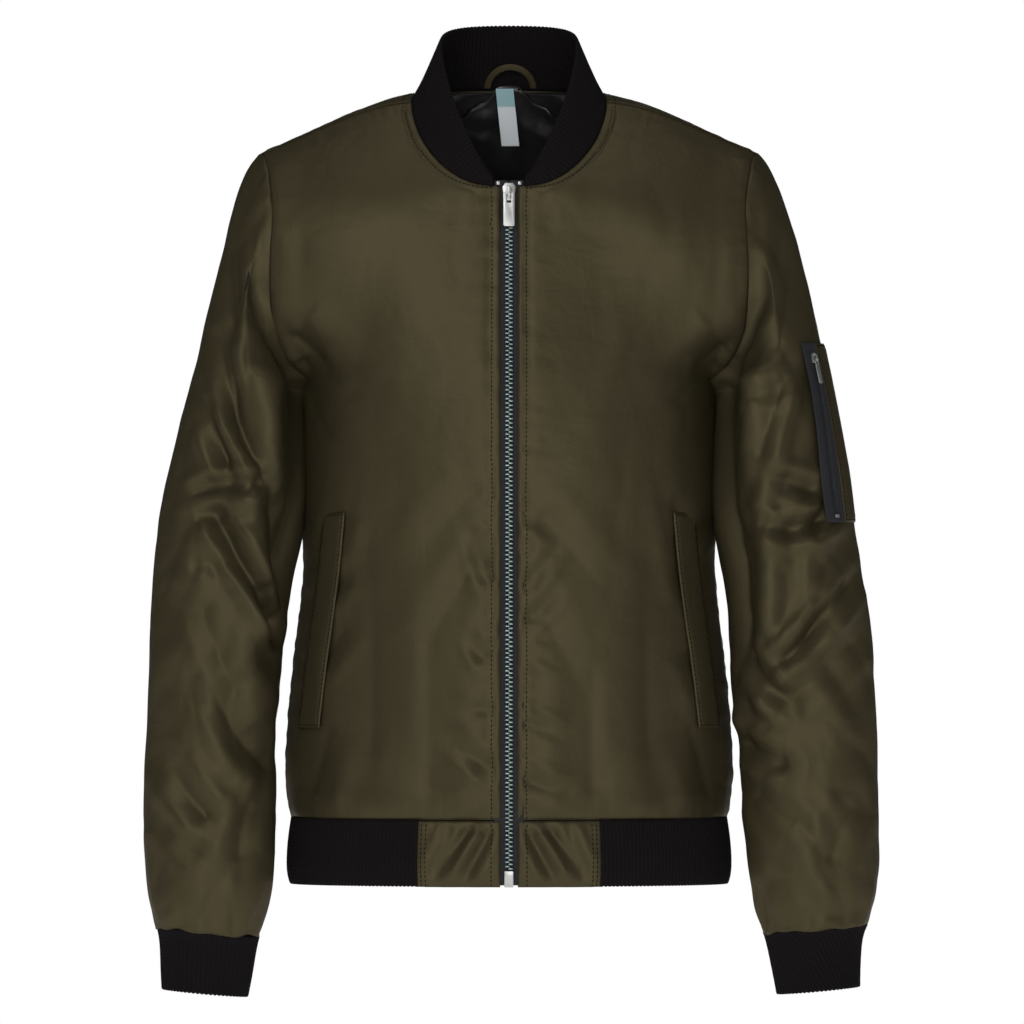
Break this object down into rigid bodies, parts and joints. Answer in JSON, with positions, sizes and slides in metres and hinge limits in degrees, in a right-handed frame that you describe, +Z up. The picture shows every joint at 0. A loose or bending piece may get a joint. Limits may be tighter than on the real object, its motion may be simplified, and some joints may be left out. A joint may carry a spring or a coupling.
{
  "type": "bomber jacket",
  "caption": "Hip-length zipped bomber jacket with ribbed stand collar, cuffs and hem band, hollow as worn, with welt pockets and a zipped pocket on its left sleeve.",
  "frame": {"origin": "middle of the neck opening, on the line where the neck seams meet the shoulder seams, where the wearer's neck and shoulders hold the jacket up", "axes": "+Z up, the front with its zip faces -Y, and +X is the wearer's left"},
  "size_m": [0.5751, 0.2426, 0.7566],
  "materials": {
    "shell": "satin olive nylon",
    "rib": "matt near-black rib knit",
    "lining": "black satin lining",
    "tape": "dark woven zip tape",
    "teeth": "dull nickel teeth",
    "silver": "bright nickel plate",
    "label": "white satin ribbon"
  },
  "bodies": {
    "garment": {"front_left": "shell", "front_right": "shell", "back": "shell", "sleeve_left": "shell", "sleeve_right": "shell", "hem_tab_left": "shell", "hem_tab_right": "shell", "pocket_welt_left": "shell", "pocket_welt_right": "shell", "sleeve_pocket": "shell", "hanger_loop": "shell", "collar": "rib", "cuff_left": "rib", "cuff_right": "rib", "hem_rib": "rib", "lining_back": "lining", "zip_tape_left": "tape", "zip_tape_right": "tape", "pocket_tape": "tape", "zip_chain": "teeth", "pocket_chain": "teeth", "zip_box": "silver", "zip_slider": "silver", "zip_stop_left": "silver", "zip_stop_right": "silver", "pocket_slider": "silver", "pocket_stop": "silver", "neck_label": "label"},
    "zip_pull_tab": {"zip_pull": "silver"},
    "pocket_pull_tab": {"pocket_pull": "silver"}
  },
  "joints": [
    {"name": "zip_pull_swing", "type": "hinge", "parent": "garment", "child": "zip_pull_tab", "pos_m": [0, -0.08126, -0.07688], "axis": [-1, 0, 0], "range_deg": [0, 165]},
    {"name": "pocket_pull_swing", "type": "hinge", "parent": "garment", "child": "pocket_pull_tab", "pos_m": [0.23815, -0.06803, -0.20476], "axis": [-0.5882, -0.8086, -0.0128], "range_deg": [0, 165]}
  ]
}
